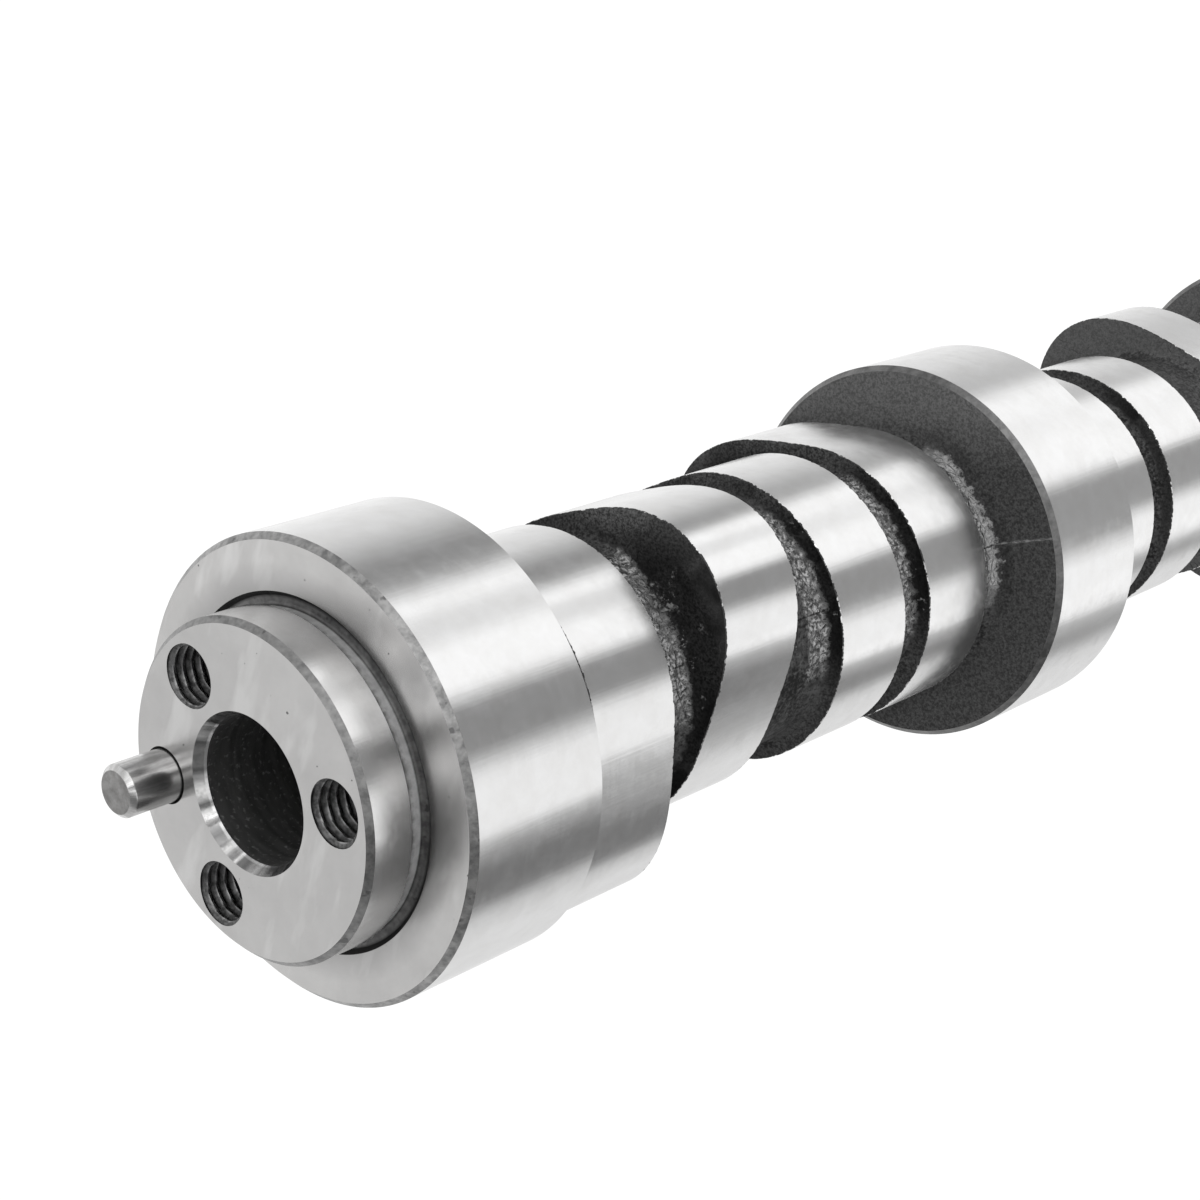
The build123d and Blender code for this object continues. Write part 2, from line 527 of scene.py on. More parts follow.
def make_object(bm, name):
    """A finished piece at the origin, with its place in its mesh."""
    mesh = bpy.data.meshes.new(name)
    bm.to_mesh(mesh)
    bm.free()
    mesh.calc_loop_triangles()
    print(name, "has", len(mesh.loop_triangles), "triangles")
    return add_object(name, mesh)


shaft = make_object(shaft_mesh, "camshaft_casting")
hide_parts("camshaft")
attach(shaft, "root")

# %% [markdown]
# ## The dowel pin
#
# The pin that clocks the gear is a short ground rod with a chamfer at each end. A plain
# cylinder would catch no light at its edges, so every sharp ring is rounded a little.

# %% Spin and round the pin
pin_stand_out = 6.85 * mm
pin_top_z = nose_z + pin_stand_out
pin_bottom_z = nose_z - seat_depth
pin_chamfer = 0.6 * mm
tail_chamfer = 0.3 * mm
pin_rounding = 0.09 * mm
pin_points = [
    (0.0, pin_bottom_z),
    (pin_r - tail_chamfer, pin_bottom_z),
    (pin_r, pin_bottom_z + tail_chamfer),
    (pin_r, pin_top_z - pin_chamfer),
    (pin_r - pin_chamfer, pin_top_z),
    (0.0, pin_top_z),
]
pin_mesh = bmesh.new()
spin_profile(pin_mesh, pin_points, seat_centre, wedges=12, wedge_steps=8)
bmesh.ops.recalc_face_normals(pin_mesh, faces=list(pin_mesh.faces))
corner_angle = radians(20)
corners = [edge for edge in pin_mesh.edges if edge.calc_face_angle() > corner_angle]
bmesh.ops.bevel(
    pin_mesh, geom=corners, offset=pin_rounding, offset_type="OFFSET", segments=3,
    profile=0.5, affect="EDGES", material=-1, clamp_overlap=True,
)
for face in pin_mesh.faces:
    face.smooth = True
pin = make_object(pin_mesh, "dowel_pin_dressed")
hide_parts("dowel_pin")
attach(pin, "root")

# %% [markdown]
# ## Writing materials as sums
#
# A procedural finish is arithmetic on numbers that change over the surface. Wiring Math
# nodes by hand hides that, so a Value wraps a node's output and adds the Math nodes when it
# is used in a sum. Every other node comes from one method of Finish.

# %% Values and finishes


class Value:
    """A node's output that can be used in a sum, each time through a Math node."""

    def __init__(self, finish, socket):
        self.finish = finish
        self.socket = socket

    def maths(self, operation, *others, clamp=False):
        inputs = dict(enumerate((self, *others)))
        settings = {"operation": operation, "use_clamp": clamp}
        return self.finish.node("ShaderNodeMath", settings, inputs)

    def __add__(self, other):
        return self.maths("ADD", other)

    def __sub__(self, other):
        return self.maths("SUBTRACT", other)

    def __rsub__(self, other):
        return self * -1 + other

    def __mul__(self, other):
        return self.maths("MULTIPLY", other)

    __radd__ = __add__
    __rmul__ = __mul__

    def between(self, low, high):
        """0 at low and below, 1 at high and above, and a straight rise between them."""
        return ((self - low) * (1 / (high - low))).maths("ADD", 0.0, clamp=True)


class Finish:
    """The nodes of one material, or of the sky."""

    def __init__(self, name, kind="materials"):
        self.material = getattr(bpy.data, kind).new(name)
        self.material.use_nodes = True
        self.tree = self.material.node_tree
        self.tree.nodes.clear()

    def node(self, kind, settings=None, inputs=None, output=0):
        """Add a node, set it, fill or link its sockets, and give one output as a Value."""
        node = self.tree.nodes.new(kind)
        for name, value in (settings or {}).items():
            setattr(node, name, value)
        for name, value in (inputs or {}).items():
            if isinstance(value, Value):
                self.tree.links.new(value.socket, node.inputs[name])
            else:
                node.inputs[name].default_value = value
        return Value(self, node.outputs[output])

    def place(self):
        """Object coordinates, and x, y and z as Values."""
        place = self.node("ShaderNodeTexCoord", output="Object")
        axes = [self.node("ShaderNodeSeparateXYZ", {}, {0: place}, output=i) for i in range(3)]
        return place, axes

    def noise(self, vector, scale, detail=2.0, roughness=0.5, output=0):
        inputs = {"Vector": vector, "Scale": scale, "Detail": detail, "Roughness": roughness}
        return self.node("ShaderNodeTexNoise", {}, inputs, output)

    def streaks(self, x, y, z, detail=2.0, roughness=0.5):
        """Noise over a space that is stretched, which draws it out into lines."""
        stretched = self.node("ShaderNodeCombineXYZ", {}, {0: x, 1: y, 2: z})
        return self.noise(stretched, 1.0, detail, roughness)

    def attribute(self, name):
        """A number that was stored at each vertex."""
        settings = {"attribute_type": "GEOMETRY", "attribute_name": name}
        return self.node("ShaderNodeAttribute", settings, output="Fac")

    def mix(self, share, first, second):
        """A colour between two others."""
        settings = {"data_type": "RGBA"}
        return self.node("ShaderNodeMix", settings, {0: share, 6: first, 7: second}, output=2)

    def coats(self, tone, *coats):
        """Lay colours over a tone one by one, each with its own share."""
        for share, colour in coats:
            tone = self.mix(share, tone, colour)
        return tone

    def bump(self, height, distance, strength=1.0):
        inputs = {"Height": height, "Distance": distance, "Strength": strength}
        return self.node("ShaderNodeBump", {}, inputs)

    def surface(self, tone, roughness, normal, metallic=1.0, brushed=0.0, specular=0.5):
        """End in the Principled shader. Brushed metal spreads its reflections one way."""
        self.end_in(self.node("ShaderNodeBsdfPrincipled", {}, {
            "Base Color": tone, "Roughness": roughness, "Normal": normal, "Metallic": metallic,
            "Anisotropic": brushed, "Anisotropic Rotation": 0.25, "Specular IOR Level": specular,
        }))
        return self.material

    def end_in(self, shader, output_kind="ShaderNodeOutputMaterial"):
        """Send a shader to the material's output."""
        output = self.tree.nodes.new(output_kind)
        self.tree.links.new(shader.socket, output.inputs["Surface"])
        print(self.material.name, "has", len(self.tree.nodes), "nodes")


def grey(level, warmth=0.0):
    """A grey, or a slightly warm one."""
    return (level * (1 + warmth), level, level * (1 - warmth), 1.0)


materials = {}

# %% [markdown]
# ## Ground steel
#
# The grinding wheel leaves hair-fine lines round each journal, which draw a reflection out
# into a long streak along the axis. Real lines would need a huge mesh, so the shader's
# anisotropy does the spreading, and a weak bump makes the streaks waver. At a lobe's edges
# the wheel broke grain away: noise on the distance from its middle makes that border.

# %% Ground finish
line_scale = 5200.0  # lines that a tool leaves, per metre
bite_wander = 0.9 * mm  # how far the ragged border of a lobe's edge wanders
bite_margin = 0.03 * mm
bite_blend = 0.05 * mm


def round_the_axis(finish):
    """The place, angle, distance from the axis and height of a point of the shaft."""
    place, (x, y, z) = finish.place()
    angle = y.maths("ARCTAN2", x)
    radius = (x * x + y * y).maths("SQRT")
    return place, angle, radius, z


def bitten_edge(finish, place):
    """1 where grinding broke grain away at a lobe's edge, and 0 elsewhere."""
    from_middle = finish.attribute("across").maths("ABSOLUTE")
    crumbs = finish.noise(place, 1300.0, 3.0, 0.65)
    start = lobe_width / 2 - lobe_edge - bite_margin
    return (from_middle + (crumbs - 0.5) * bite_wander).between(start, start + bite_blend)


def make_ground():
    finish = Finish("ground_steel")
    place, angle, radius, z = round_the_axis(finish)
    lines = finish.streaks(z * line_scale, angle * 2.0, radius * 900.0, 2.0, 0.6)
    chatter = finish.streaks(angle * 26.0, z * 25.0, 0.0, 3.0, 0.65)
    cloud = finish.noise(place, 260.0, 4.0, 0.65)
    smear = finish.noise(place, 480.0, 4.0, 0.65).between(0.45, 0.65)
    bitten = bitten_edge(finish, place)
    tone = finish.coats(
        grey(0.96), (cloud.between(0.35, 0.7), grey(0.90, 0.006)), (bitten, grey(0.03))
    )
    roughness = 0.14 + lines * 0.08 + smear * 0.05 + bitten * 0.4
    normal = finish.bump(chatter + cloud * 0.9 + lines * 0.10, 0.006 * mm)
    return finish.surface(tone, roughness, normal, metallic=1 - bitten, brushed=0.7)


materials["ground"] = make_ground()

# %% [markdown]
# ## Turned steel
#
# The nose's face and the front journal's face are turned on a lathe, and handled since. They show
# fine rings, wiped strokes and a few dark pits. Painted shade darkens a ring round the undercut,
# where the nose shades the face, and a darker patch lies on the face at one angle. All are simple
# shapes, so instead of painting them we place them by the point's angle and its distance from the
# axis.

# %% Turned finish
# A darker patch on the journal's face at one angle, which dims the face's highlight there.
dark_patch_angle = radians(-149.5)
dark_patch_r = 24.8 * mm
dark_patch_middle = 1.0 * mm
dark_patch_size = 4.8 * mm
# how far out from the undercut's mouth the ring of painted shade fades
corner_shade_width = 3.4 * mm


def wiped_strokes(finish, place):
    """Long pale patches that a rag left, all in one direction."""
    turned = finish.node("ShaderNodeMapping", {}, {"Vector": place, "Rotation": (0, 0, 0.5)})
    stretched = finish.node("ShaderNodeVectorMath", {"operation": "MULTIPLY"}, {
        0: turned, 1: (260.0, 75.0, 100.0),
    })
    return finish.noise(stretched, 1.0, 3.0, 0.55).between(0.56, 0.70)


def dark_patch(angle, radius):
    """1 in the middle of the darker patch, fading to 0 at its border."""
    beside = (angle - dark_patch_angle) * dark_patch_r
    outwards = radius - dark_patch_r
    distance = (beside * beside + outwards * outwards).maths("SQRT")
    return 1 - distance.between(dark_patch_middle, dark_patch_size)


def make_turned():
    finish = Finish("turned_steel")
    place, angle, radius, z = round_the_axis(finish)
    rings = finish.streaks(radius * line_scale, angle * 1.5, z * 900.0, 2.0, 0.6)
    smudge = finish.noise(place, 110.0, 4.0, 0.62)
    pit = finish.noise(place, 1300.0, 0.0, 0.5).between(0.858, 0.868)
    on_nose = z.between(nose_z - 1.0 * mm, nose_z - 0.5 * mm)
    # Painted shade: a darker ring on the journal's face round the undercut, where the nose shades
    # the face.
    corner_shade = radius.between(nose_r + 0.5 * mm, undercut_mouth_r)
    corner_shade = corner_shade * (1 - radius.between(undercut_mouth_r, undercut_mouth_r + corner_shade_width))
    patched = dark_patch(angle, radius) * (1 - on_nose)
    tone = finish.coats(
        grey(0.47, 0.010),
        (smudge.between(0.3, 0.7), grey(0.56, 0.010)),
        (wiped_strokes(finish, place) * 0.8, grey(0.64, 0.006)),
        (pit, grey(0.12)),
        (on_nose * 0.2, grey(0.30)),
        # painted shade round the nose's root
        (corner_shade * 0.5, grey(0.20)),
        (patched * 0.75, grey(0.22)),
    )
    roughness = 0.16 + rings * 0.06 + smudge * 0.08
    normal = finish.bump(rings + smudge * 0.6, 0.003 * mm)
    return finish.surface(tone, roughness, normal, brushed=0.6)


materials["turned"] = make_turned()

# %% [markdown]
# ## Dull chamfers, the undercut and the reamed cone
#
# A form tool cuts the chamfers and the undercut, and nothing grinds them afterwards. They stay
# grey, mottled and a little dented. The undercut's groove is black with painted shade and oil,
# and its wall is pale with a painted highlight. The centre cone was reamed, and the reamer
# chattered: it left flats that catch the light one by one. They could be modelled, but a bump is
# enough for them, and painted light and shade make some flats pale and others dark.

# %% Dull finish


def in_groove(radius, z):
    """1 where the undercut is cut into the journal's face, and 0 elsewhere."""
    above_floor = z.between(undercut_floor_z - 0.1 * mm, undercut_floor_z)
    below_face = 1 - z.between(front_face_z - 0.05 * mm, front_face_z + 0.15 * mm)
    inside_mouth = 1 - radius.between(undercut_mouth_r, undercut_mouth_r + 0.2 * mm)
    return above_floor * below_face * inside_mouth


def on_wall(radius, z):
    """1 on the undercut's wall, where it is cut into the nose, and 0 elsewhere."""
    above_face = z.between(front_face_z - 0.2 * mm, front_face_z)
    below_top = 1 - z.between(undercut_top_z - 0.8 * mm, undercut_top_z - 0.3 * mm)
    under_nose = 1 - radius.between(nose_r + 0.1 * mm, nose_r + 0.3 * mm)
    return above_face * below_top * under_nose


def make_dull():
    finish = Finish("dull_chamfer")
    place, _, radius, z = round_the_axis(finish)
    mottle = finish.noise(place, 900.0, 4.0, 0.7)
    blotch = finish.noise(place, 330.0, 3.0, 0.6)
    dent = finish.noise(place, 520.0, 2.0, 0.5).between(0.66, 0.70)
    speckle = (mottle * 0.6 + blotch * 0.4).between(0.40, 0.60)
    in_rear = 1 - z.between(front_face_z - 60.0 * mm, front_face_z - 50.0 * mm)
    on_nose = z.between(undercut_top_z, undercut_top_z + 0.5 * mm)
    groove = in_groove(radius, z)
    near_mouth = radius.between(nose_r + 0.2 * mm, nose_r + 0.6 * mm)
    wall = on_wall(radius, z)
    # Painted highlight: the undercut's wall is pale, palest at its foot.
    wall_speckle = (mottle * 0.75 + blotch * 0.25).between(0.42, 0.58)
    wall_foot_highlight = 1 - z.between(front_face_z + 0.55 * mm, front_face_z + 1.1 * mm)
    wall_highlight_tone = finish.coats(grey(0.34), (wall_speckle, grey(0.74)), (wall_foot_highlight * 0.6, grey(1.0)))
    tone = finish.coats(
        grey(0.25),
        (speckle, grey(0.52, 0.006)),
        (in_rear * 0.55, grey(0.10)),
        (on_nose * 0.30, grey(0.12)),
        (dent * 0.8, grey(0.15)),
        # Painted shade and oil: the undercut's groove is darkened towards black.
        (groove * (0.6 + near_mouth * 0.38), grey(0.02)),
        # painted highlight on the undercut's wall
        (wall, wall_highlight_tone),
    )
    roughness = 0.32 + mottle * 0.16 + groove * 0.12
    normal = finish.bump(mottle - dent * 0.8, 0.03 * mm)
    return finish.surface(tone, roughness, normal, metallic=1 - wall * 0.22)


materials["dull"] = make_dull()

# %% Reamed finish


def make_reamed():
    finish = Finish("reamed_cone")
    place, angle, radius, z = round_the_axis(finish)
    flats = finish.streaks(angle * 5.0, z * 30.0, 0.0, 1.0, 0.5)
    mottle = finish.noise(place, 900.0, 3.0, 0.6)
    inner_edge = 1 - radius.between(bore_r + 0.12 * mm, bore_r + 0.20 * mm)
    # Painted light and shade: the flats alternate pale and dark, and a pale line along the cone's
    # inner edge is a painted highlight.
    tone = finish.coats(
        grey(0.28),
        (flats.between(0.35, 0.65), grey(0.85, 0.006)),
        (mottle.between(0.45, 0.65) * 0.5, grey(0.30)),
        (inner_edge * 0.7, grey(0.80)),
    )
    normal = finish.bump(flats + mottle * 0.05, 0.40 * mm)
    return finish.surface(tone, 0.16 + mottle * 0.14, normal)


materials["reamed"] = make_reamed()

# %% [markdown]
# ## Cast skin
#
# The sides of the lobes are nearly black, matte and grainy. The journals' faces are painted a
# little paler, as if better lit, and so are the sides towards -Y and +Y and the rear of the
# shaft: all painted light. Painted shade darkens the crevices, and sooty clouds lie here and
# there. On the core the skin is torn: where the flash was knocked off, pale crumbs and flakes
# stand at the foot of each lobe and journal, but only in a band of painted light on the side that
# faces the lamp.
#
# A material for each would leave straight borders between faces. One material does it all
# instead: each part is a mask from 0 to 1, read from the place of a point and from noise,
# so its border is as ragged as the real one.

# %% Places and noises of the cast skin
seam_angle = radians(189.0)  # where the two halves of the mould met
lit_crumbs_angle = radians(203.0)  # the side facing the lamp, where the crumbs of the torn skin are shown: painted light
lit_rear_grain = (0.072, 0.118)  # paler greys of the rear skin: painted light, as if better lit


def read_skin(finish):
    """Where a point of the cast skin lies, and the noises that its parts share."""
    place, angle, radius, z = round_the_axis(finish)
    grain = finish.noise(place, 3400.0, 3.0, 0.7)
    fine = finish.noise(place, 1900.0, 3.0, 0.7)
    patch = finish.noise(place, 150.0, 4.0, 0.6)
    fold = (finish.noise(place, 170.0, 2.0, 0.5) - 0.5).maths("ABSOLUTE").between(0.0, 0.012)
    from_journal = (z - last_journal_z + bay_pitch * 1.5).maths("MODULO", bay_pitch)
    from_journal = (from_journal - bay_pitch / 2).maths("ABSOLUTE")
    y = radius * angle.maths("SINE")
    return SimpleNamespace(
        place=place, z=z, radius=radius, grain=grain, fine=fine, patch=patch, y=y,
        x=radius * angle.maths("COSINE"),
        crumble=finish.noise(place, 950.0, 5.0, 0.7),
        speckle=(grain * 0.5 + fine * 0.5).between(0.42, 0.58),
        wrinkle=(1 - fold) * patch.between(0.45, 0.60),
        # painted light: the side towards -Y is paler, as if better lit
        lit_minus_y_side=1 - y.between(-22.0 * mm, -13.0 * mm),
        on_journal=1 - from_journal.between(12.3 * mm, 12.6 * mm),
        in_rear=1 - z.between(bay_zs[1] + 6.0 * mm, bay_zs[1] + 8.0 * mm),
        untorn=1 - z.between(journal_zs[1] - 8.0 * mm, journal_zs[1] - 6.0 * mm),
    )


def off_line(skin, angle):
    """How far a point lies beside the plane through the axis at an angle."""
    return (skin.x * sin(angle) - skin.y * cos(angle)).maths("ABSOLUTE")


# %% Sides of the lobes and journals


def speckled(finish, skin, dark, pale):
    """Sand grain in two greys."""
    return finish.mix(skin.speckle, grey(dark), grey(pale))


def side_tone(finish, skin):
    """The colour of the sides, with painted light, before soot, painted shade and chips."""
    # Painted light: the journals' faces and the side towards -Y are paler, as if better lit.
    lit_journal_face = speckled(finish, skin, 0.085, 0.155)
    face = speckled(finish, skin, 0.028, 0.072)
    face = finish.mix(skin.lit_minus_y_side * 0.8, face, lit_journal_face)
    plain = speckled(finish, skin, *lit_rear_grain)
    near_rim = skin.radius.between(22.5 * mm, 25.0 * mm)
    return finish.coats(
        speckled(finish, skin, 0.002, 0.028),
        (skin.patch.between(0.35, 0.65) * 0.5, grey(0.014)),
        (near_rim * 0.5, grey(0.055)),
        (skin.lit_minus_y_side * 0.65, speckled(finish, skin, 0.05, 0.22)),
        # Painted light: the rear of the shaft is paler, as if better lit.
        (skin.untorn * 0.35, plain),
        (skin.on_journal, face),
        (skin.in_rear, plain),
        (skin.wrinkle * 0.2, grey(0.09)),
    )


def add_soot(finish, skin, tone):
    """Darken the crevices with painted shade and add sooty clouds; paint the side towards +Y
    paler, as if lit, and give the lit sides and the rear less of them.
    """
    sootless = skin.on_journal.maths("MAXIMUM", skin.in_rear)
    behind_front_bay = 1 - skin.z.between(bay_zs[0] - 5.0 * mm, bay_zs[0] - 3.0 * mm)
    # Painted light: the side towards +Y is paler and has less soot and shade.
    lit_plus_y_side = skin.y.between(2.0 * mm, 9.0 * mm) * behind_front_bay
    from_core = skin.radius + (skin.patch - 0.5) * (8.0 * mm) + (skin.crumble - 0.5) * (4.0 * mm)
    # Painted shade: the crevices near the core are darkened.
    crevice = 1 - from_core.between(core_r + 1.4 * mm, core_r + 3.2 * mm)
    clouds = finish.noise(skin.place, 90.0, 3.0, 0.55).between(0.46, 0.56) * (1 - sootless)
    soot_and_shade = (crevice * 0.40).maths("MAXIMUM", clouds * 0.75)
    # the painted lit sides and the rear get less soot and shade
    soot_and_shade = soot_and_shade * (1 - skin.in_rear * 0.8) * (1 - skin.lit_minus_y_side * 0.6)
    soot_and_shade = soot_and_shade * (1 - lit_plus_y_side * 0.8)
    tone = finish.mix(lit_plus_y_side * (1 - sootless) * 0.7, tone, speckled(finish, skin, 0.030, 0.090))
    return finish.mix(soot_and_shade, tone, grey(0.004))


# %% Torn skin


def read_flakes(finish, place):
    """0 in the cracks between flakes and 1 on each flake."""
    wander = finish.noise(place, 700.0, output="Color")
    shifted = finish.node("ShaderNodeVectorMath", {"operation": "MULTIPLY_ADD"}, {
        0: wander, 1: (1.2 * mm, 1.2 * mm, 1.2 * mm), 2: place,
    })
    from_crack = finish.node("ShaderNodeTexVoronoi", {"feature": "DISTANCE_TO_EDGE"}, {
        "Vector": shifted, "Scale": 800.0,
    }, output="Distance")
    return from_crack.between(0.03, 0.18)


def read_tears(finish, skin):
    """Where the skin is torn, the flakes and crumbs that stand there, and the band of painted
    light that shows them only on the side facing the lamp.
    """
    above_foot = finish.attribute("foot") + (skin.patch - 0.5) * (3.0 * mm)
    # Painted light: crumbs, flakes and chips show only in a band round the side that faces the
    # lamp.
    beside = off_line(skin, lit_crumbs_angle) + (skin.patch - 0.5) * (9.0 * mm)
    lit_band = 1 - beside.between(9.0 * mm, 12.5 * mm)
    near_foot = lit_band * (1 - above_foot.between(3.6 * mm, 4.4 * mm)) * (1 - skin.untorn * 0.95)
    ragged = skin.radius + (skin.crumble - 0.5) * (3.4 * mm) + (skin.patch - 0.5) * (2.2 * mm)
    on_core = 1 - ragged.between(core_r + 0.3 * mm, core_r + 0.7 * mm)
    flake = read_flakes(finish, skin.place)
    crumbs = (skin.crumble * 0.5 + skin.fine * 0.5).between(0.43, 0.58) * (0.25 + flake * 0.75)
    return SimpleNamespace(
        lit_band=lit_band, near_foot=near_foot, on_core=on_core, flake=flake, crumbs=crumbs
    )


def core_tone(finish, skin, tears):
    """The colour of the core: dark grain, with pale crumbs where the skin is torn."""
    speckle = (skin.patch * 0.4 + skin.fine * 0.6).between(0.42, 0.58)
    share = tears.crumbs * (0.9 - skin.on_journal * 0.45) + skin.on_journal * 0.40 + 0.1
    return finish.coats(
        grey(0.014),
        (speckle, grey(0.085)),
        # painted light: the core is paler at the rear
        (skin.in_rear * 0.35, speckled(finish, skin, *lit_rear_grain)),
        (tears.near_foot * share, finish.mix(skin.on_journal, grey(0.47), grey(0.48))),
    )


def add_chips(finish, skin, tears, tone):
    """Small pale chips on the lobes' sides, near the core."""
    near_core = 1 - skin.radius.between(core_r + 2.0 * mm, core_r + 6.0 * mm)
    chips = (skin.crumble * 0.5 + skin.patch * 0.5).between(0.595, 0.62)
    chips = chips * near_core * tears.lit_band * (1 - skin.on_journal)
    return finish.mix(chips * tears.crumbs, tone, grey(0.16))


# %% [markdown]
# ## Seam, and the cast finish as a whole
#
# Where the halves of the mould met, a thin line runs up the casting: pale and broken on the
# journals' faces, dark on the core. It is thinner than the mesh is fine, so it is a mask
# too, and not a raised strip. The finish lays side, core and seam over one another.

# %% Cast finish


def make_cast():
    finish = Finish("cast_skin")
    skin = read_skin(finish)
    tears = read_tears(finish, skin)
    side = add_soot(finish, skin, side_tone(finish, skin))
    side = add_chips(finish, skin, tears, side)
    tone = finish.mix(tears.on_core, side, core_tone(finish, skin, tears))

    beside_seam = off_line(skin, seam_angle) + (skin.crumble - 0.5) * (1.1 * mm)
    seam = 1 - beside_seam.between(0.04 * mm, 0.20 * mm)
    dashes = 0.35 + skin.fine.between(0.44, 0.52) * 0.65
    seam_tone = finish.mix(tears.on_core, grey(0.26), grey(0.01))
    seam_depth = (skin.on_journal * dashes * 0.75).maths("MAXIMUM", tears.on_core * 0.8)
    tone = finish.mix(seam * seam_depth, tone, seam_tone)

    torn = tears.on_core * tears.near_foot
    height = skin.grain * 0.35 + skin.wrinkle * (0.4 + skin.in_rear * 0.8) + seam * 0.5
    height = height + (skin.crumble + skin.fine * 0.6) * (0.45 + torn * 1.65)
    height = height + tears.flake * torn * 2.2
    normal = finish.bump(height, 0.10 * mm, 0.9)
    return finish.surface(tone, 0.72 - skin.grain * 0.15, normal, metallic=0.0, specular=0.08)


materials["cast"] = make_cast()

# %% [markdown]
# ## Inside the holes
#
# A tapped hole looks dark with bright thread crests: painted shade darkens the inside of the
# hole, the flanks more and the roots most. The depth of the groove was stored at each vertex when
# the thread was pushed out, so the material needs no second helix. The bore shows the drill's
# spiral, stains and a few bright specks, in dark greys that stand in for the shade deep in the
# bore: painted shade.

# %% Thread and bore finishes


def make_thread():
    finish = Finish("tapped_thread")
    place, (_, _, z) = finish.place()
    groove = finish.attribute("groove")
    mottle = finish.noise(place, 1500.0, 3.0, 0.6)
    in_hole = 1 - z.between(nose_z - 0.5 * mm, nose_z - 0.25 * mm)
    flank = groove.between(0.02, 0.30)
    root = groove.between(0.70, 1.0)
    # Painted shade: darker inside the hole, darkest in the thread's roots, with bright crests.
    tone = finish.coats(
        grey(0.62),
        (in_hole, grey(0.40)),
        (flank, grey(0.22)),
        (root, grey(0.010)),
        (mottle.between(0.42, 0.62) * 0.65, grey(0.04)),
    )
    normal = finish.bump(mottle, 0.01 * mm)
    return finish.surface(tone, 0.30 + mottle * 0.15 + flank * 0.15, normal)


def make_bore():
    finish = Finish("drilled_bore")
    place, angle, radius, z = round_the_axis(finish)
    spiral = finish.streaks(z * 900.0 + angle * 0.16, angle * 1.2, 0.0)
    stain = finish.noise(place, 200.0, 3.0, 0.6)
    speck = finish.streaks(angle * 14.0, z * 1700.0, radius * 100.0, 2.0, 0.6)
    # Painted shade: the bore's greys are kept dark, as shade deep in the bore.
    tone = finish.coats(
        grey(0.20),
        (spiral.between(0.35, 0.7), grey(0.34)),
        (stain.between(0.6, 0.8) * 0.4, grey(0.34)),
        (speck.between(0.58, 0.72) * 0.6, grey(0.85)),
    )
    return finish.surface(tone, 0.42 + stain * 0.2, finish.bump(spiral, 0.03 * mm))


materials["thread"] = make_thread()
materials["bore"] = make_bore()

# %% [markdown]
# ## The pin's steel
#
# Ground like the journals, but mottled by handling, with painted dark reflection streaks along
# its length and a duller end. The journals' material would be too clean, so the pin has one of
# its own.

# %% Pin finish


def make_pin():
    finish = Finish("pin_steel")
    place, (x, y, z) = finish.place()
    lines = finish.streaks(z * line_scale, x * 300.0, y * 300.0, 2.0, 0.6)
    mottle = finish.noise(place, 900.0, 4.0, 0.65)
    around = y.maths("ARCTAN2", x - pin_circle_r)
    painted_reflection_streak = finish.streaks(around * 5.0, z * 90.0, 0.0, 3.0, 0.7).between(0.40, 0.62)
    on_end = z.between(pin_top_z - 0.05 * mm, pin_top_z - 0.01 * mm)
    end_tone = finish.mix(mottle.between(0.35, 0.68), grey(0.30, 0.01), grey(0.18, 0.02))
    tone = finish.coats(
        grey(0.88),
        (mottle.between(0.3, 0.75), grey(0.66, 0.01)),
        # Painted reflection: dark streaks along the pin.
        (painted_reflection_streak * 0.5, grey(0.36, 0.01)),
        (on_end, end_tone),
    )
    roughness = 0.18 + mottle * 0.10 + on_end * 0.15
    normal = finish.bump(mottle + lines * 0.3, 0.006 * mm)
    return finish.surface(tone, roughness, normal, brushed=0.5)


# %% Put the finishes on the pieces
for name in finishes:
    shaft.data.materials.append(materials[name])
pin.data.materials.append(make_pin())
print("the shaft wears", len(shaft.data.materials), "finishes")

# %% [markdown]
# ## Camera
#
# The photo looks down the nose from close by. The camera's place, aim, lens and roll were
# found from circles of known size, so the picture keeps the photo's perspective.

# %% Camera
camera_place = Vector((-195.84, -75.04, 622.75)) * mm
camera_aim = Vector((17.92, -1.87, 400.0)) * mm
camera_roll = radians(-108.88)
camera_data = bpy.data.cameras.new("camera")
camera_data.lens = 69.44
camera = add_object("camera", camera_data)
facing = (camera_aim - camera_place).to_track_quat("-Z", "Y")
camera.location = camera_place
camera.rotation_euler = (facing @ Quaternion((0, 0, 1), camera_roll)).to_euler()
bpy.context.scene.camera = camera

# %% [markdown]
# ## Floor
#
# The photo's ground is plain white with hardly a shadow. A lit floor would turn out grey, so
# it glows towards the camera and towards shiny metal. Part of its matte colour is kept, and
# takes the shaft's soft shadow.

# %% Floor
glow_share = 0.85
glow_strength = 1.16  # so that glow and matte together come out white
floor_mesh = bmesh.new()
bmesh.ops.create_grid(floor_mesh, x_segments=1, y_segments=1, size=6.0)
floor = make_object(floor_mesh, "floor")

floor_finish = Finish("white_floor")
seen = floor_finish.node("ShaderNodeLightPath", output="Is Camera Ray")
mirrored = floor_finish.node("ShaderNodeLightPath", output="Is Glossy Ray")
matte = floor_finish.node("ShaderNodeBsdfDiffuse", {}, {"Color": grey(0.9)})
white = {"Color": grey(1.0), "Strength": glow_strength}
glow = floor_finish.node("ShaderNodeEmission", {}, white)
share = (seen + mirrored).maths("MULTIPLY", glow_share, clamp=True)
blend = floor_finish.node("ShaderNodeMixShader", {}, {0: share, 1: matte, 2: glow})
floor_finish.end_in(blend)
floor.data.materials.append(floor_finish.material)

